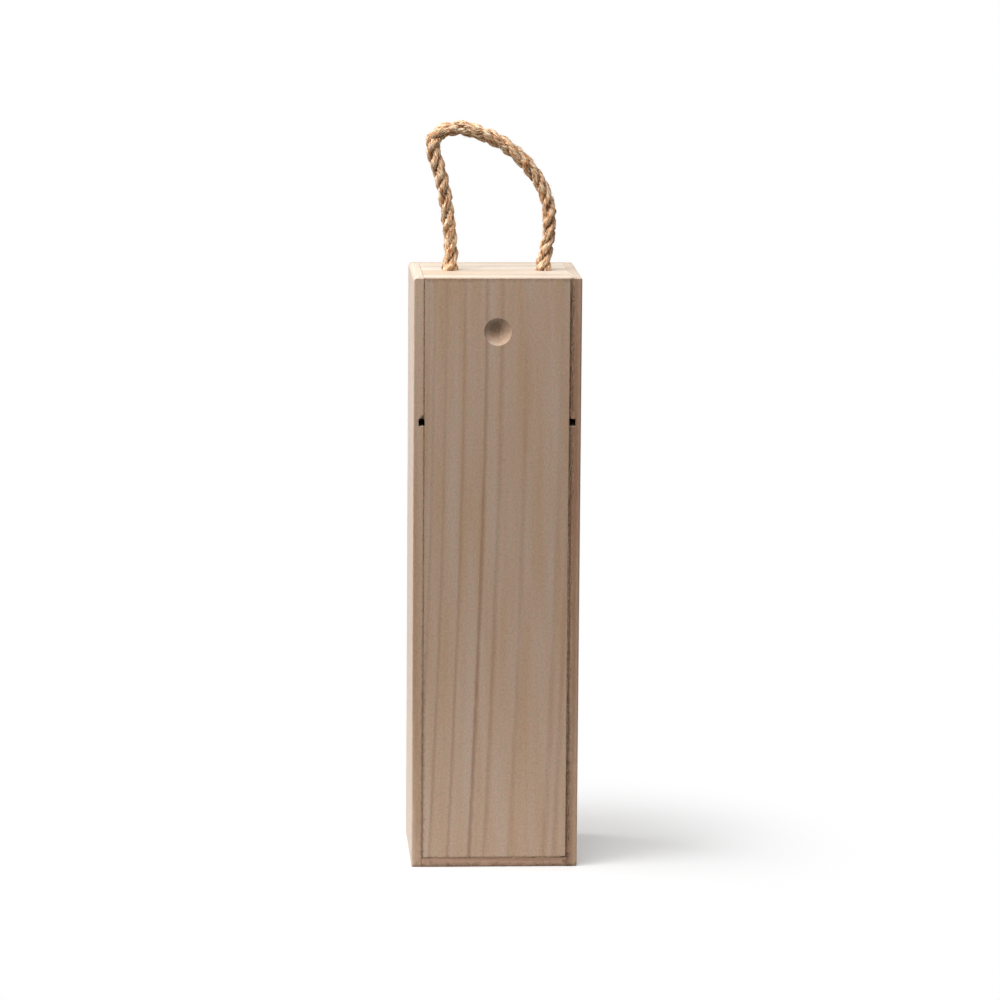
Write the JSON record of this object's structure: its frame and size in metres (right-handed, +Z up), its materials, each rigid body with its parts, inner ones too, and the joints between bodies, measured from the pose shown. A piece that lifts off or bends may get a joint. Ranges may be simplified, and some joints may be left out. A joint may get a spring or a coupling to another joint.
{
  "type": "wooden wine box",
  "caption": "Upright wooden box for one bottle, with a front lid that slides up in grooves, an inner neck rest and a rope handle through the top.",
  "frame": {"origin": "middle of the underside of the box", "axes": "+Z up, along the way the lid slides; +X to the right and -Y to the front, where the lid is"},
  "size_m": [0.1, 0.09, 0.4462],
  "materials": {
    "pine": "planed and sanded, unfinished, vertical grain",
    "pale_pine": "planed, unfinished, grain across the box",
    "jute": "three-strand natural fibre rope, hairy",
    "steel": "bright drawn wire brads"
  },
  "bodies": {
    "box": {"left_side": "pine", "right_side": "pine", "top_board": "pale_pine", "bottom_board": "pine", "back_panel": "pine", "neck_rest": "pale_pine", "left_rope_tail": "jute", "right_rope_tail": "jute", "left_knot": "jute", "right_knot": "jute", "top_brads": "steel", "bottom_brads": "steel", "back_brads": "steel"},
    "lid": {"sliding_lid": "pine"},
    "handle": {"rope_handle": "jute"}
  },
  "joints": [
    {"name": "lid_slide", "type": "slide", "parent": "box", "child": "lid", "axis": [0, 0, 1], "range_m": [0, 0.355]},
    {"name": "handle_tip", "type": "hinge", "parent": "box", "child": "handle", "pos_m": [0, 0, 0.36105], "axis": [1, 0, 0], "range_deg": [-85, 20]}
  ]
}
